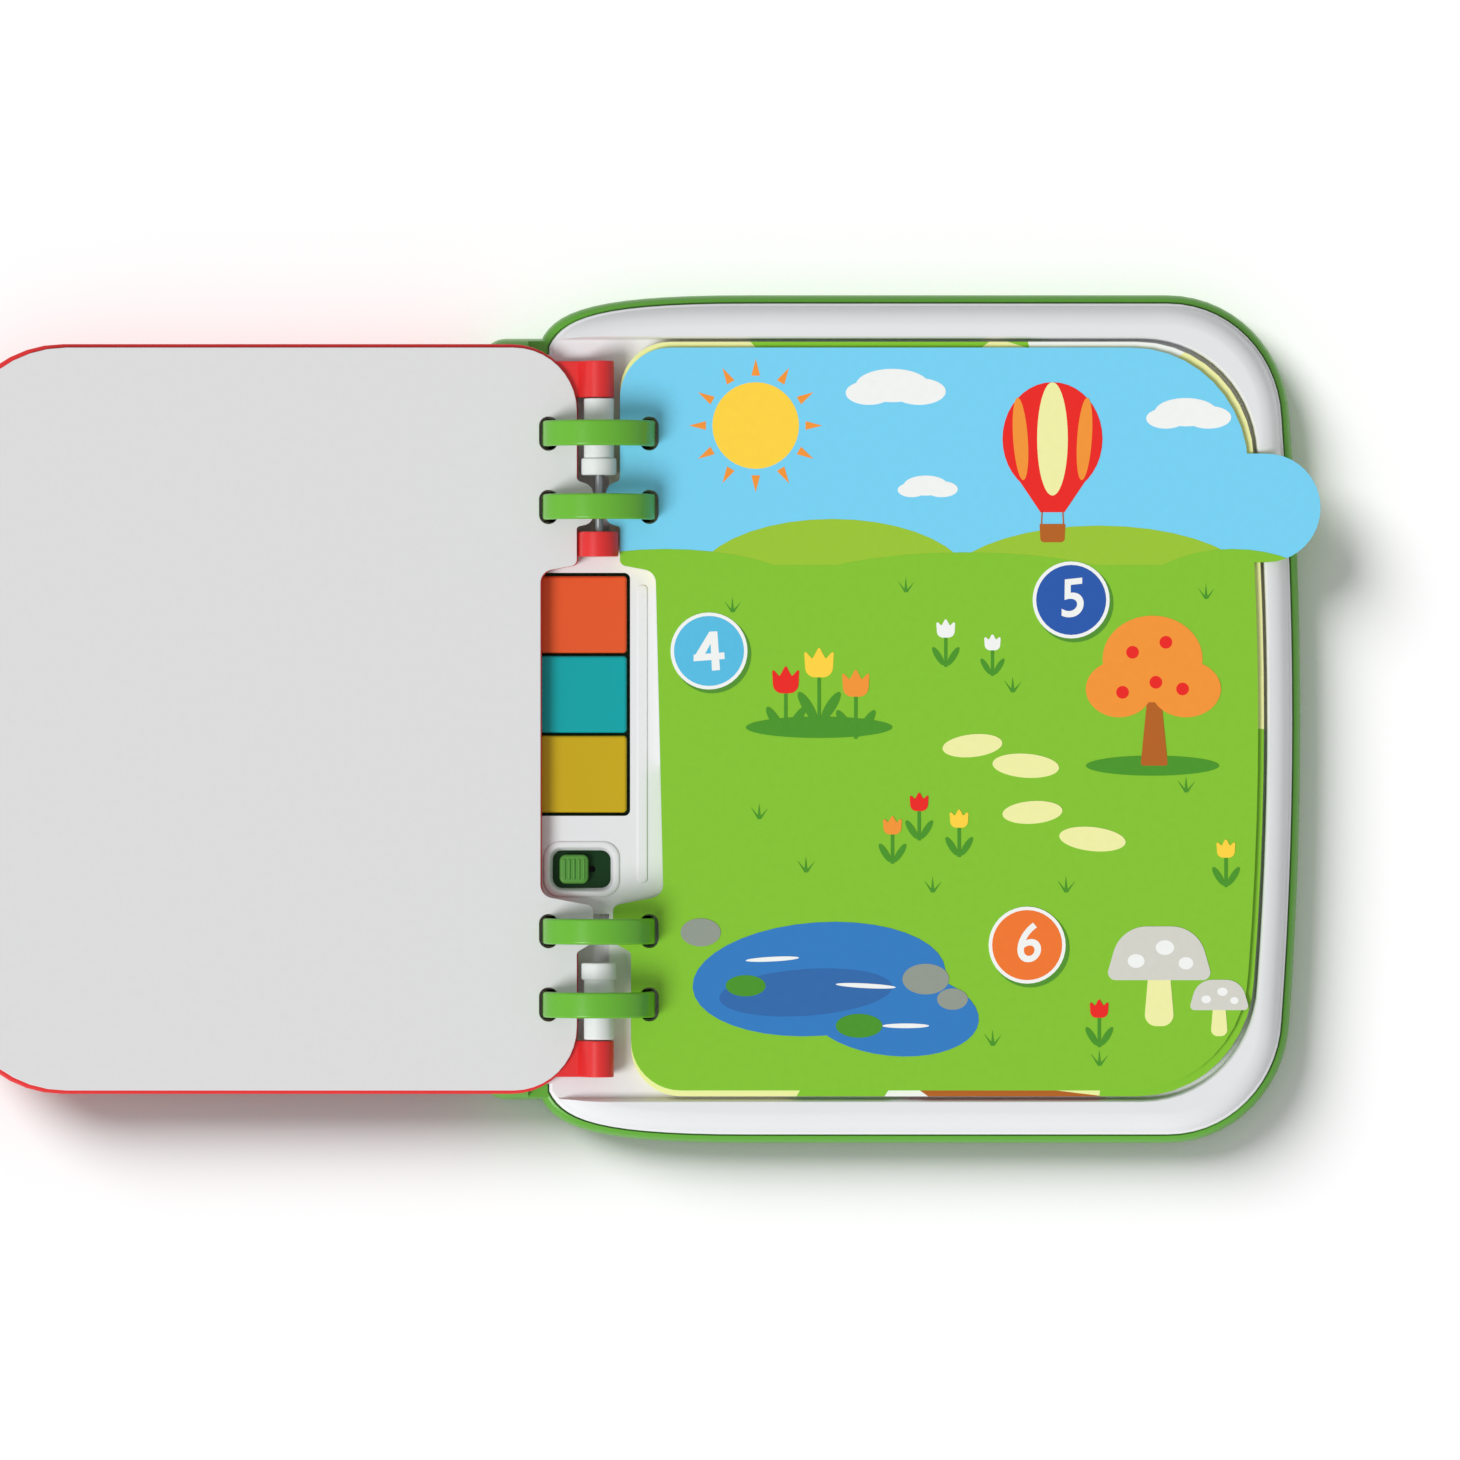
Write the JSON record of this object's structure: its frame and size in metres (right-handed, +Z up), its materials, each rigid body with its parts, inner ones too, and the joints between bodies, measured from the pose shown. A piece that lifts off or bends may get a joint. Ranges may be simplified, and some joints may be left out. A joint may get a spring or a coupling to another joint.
{
  "type": "sound book",
  "caption": "Toddler's electronic sound book, lying open: moulded base with board pages, ring spine with keys and slide switch, and a hinged front cover with one turned leaf.",
  "frame": {"origin": "on the flat underside of the base, straight below the hinge axis at the spine's mid height", "axes": "+X from the spine across the pages, +Y up the spine towards the top of the page, +Z up out of the page"},
  "size_m": [0.4152, 0.2552, 0.0409],
  "materials": {
    "green_shell": "moulded, satin gloss",
    "white_tray": "moulded, satin",
    "red_cover": "moulded, satin gloss",
    "blank_board": "laminated board, matt",
    "printed_board": "printed and laminated board",
    "green_ring": "moulded, glossy",
    "pin_steel": "drawn bright wire",
    "orange_key": "moulded, satin",
    "teal_key": "moulded, satin",
    "yellow_key": "moulded, satin",
    "dome_rubber": "moulded silicone",
    "green_thumb": "moulded, ribbed",
    "dark_green_plate": "moulded",
    "switch_metal": "pressed and plated",
    "board_laminate": "coated laminate",
    "black_resin": "poured resin",
    "speaker_black": "pressed basket and paper cone",
    "membrane_film": "printed film",
    "cell_jacket": "plain sleeved steel",
    "screw_zinc": "zinc plated"
  },
  "bodies": {
    "base": {"base_shell": "green_shell", "tray": "white_tray", "page_block": "printed_board", "ring_1": "green_ring", "ring_2": "green_ring", "ring_3": "green_ring", "ring_4": "green_ring", "hinge_pin_top": "pin_steel", "hinge_pin_bottom": "pin_steel", "key_dome_orange": "dome_rubber", "key_dome_teal": "dome_rubber", "key_dome_yellow": "dome_rubber", "switch_plate": "dark_green_plate", "switch_body": "switch_metal", "circuit_board": "board_laminate", "sound_chip": "black_resin", "speaker": "speaker_black", "touch_membrane": "membrane_film", "battery_1": "cell_jacket", "battery_2": "cell_jacket", "battery_3": "cell_jacket", "battery_contact_left": "pin_steel", "battery_contact_right": "pin_steel", "battery_door": "green_shell", "battery_door_screw": "screw_zinc", "housing_screw_1": "screw_zinc", "housing_screw_2": "screw_zinc", "housing_screw_3": "screw_zinc", "housing_screw_4": "screw_zinc", "housing_screw_5": "screw_zinc", "housing_screw_6": "screw_zinc"},
    "cover": {"front_cover": "red_cover", "turned_leaf": "blank_board"},
    "orange_key": {"key_orange": "orange_key"},
    "teal_key": {"key_teal": "teal_key"},
    "yellow_key": {"key_yellow": "yellow_key"},
    "slider": {"switch_thumb": "green_thumb"}
  },
  "joints": [
    {"name": "cover_hinge", "type": "hinge", "parent": "base", "child": "cover", "pos_m": [0, 0, 0.024], "axis": [0, 1, 0], "range_deg": [0, 180]},
    {"name": "orange_key_press", "type": "slide", "parent": "base", "child": "orange_key", "axis": [0, 0, -1], "range_m": [0, 0.0015], "stiffness_N_per_m": 400, "springref_m": -0.001, "deforming": ["key_dome_orange"]},
    {"name": "teal_key_press", "type": "slide", "parent": "base", "child": "teal_key", "axis": [0, 0, -1], "range_m": [0, 0.0015], "stiffness_N_per_m": 400, "springref_m": -0.001, "deforming": ["key_dome_teal"]},
    {"name": "yellow_key_press", "type": "slide", "parent": "base", "child": "yellow_key", "axis": [0, 0, -1], "range_m": [0, 0.0015], "stiffness_N_per_m": 400, "springref_m": -0.001, "deforming": ["key_dome_yellow"]},
    {"name": "switch_slide", "type": "slide", "parent": "base", "child": "slider", "axis": [1, 0, 0], "range_m": [0, 0.005]}
  ]
}
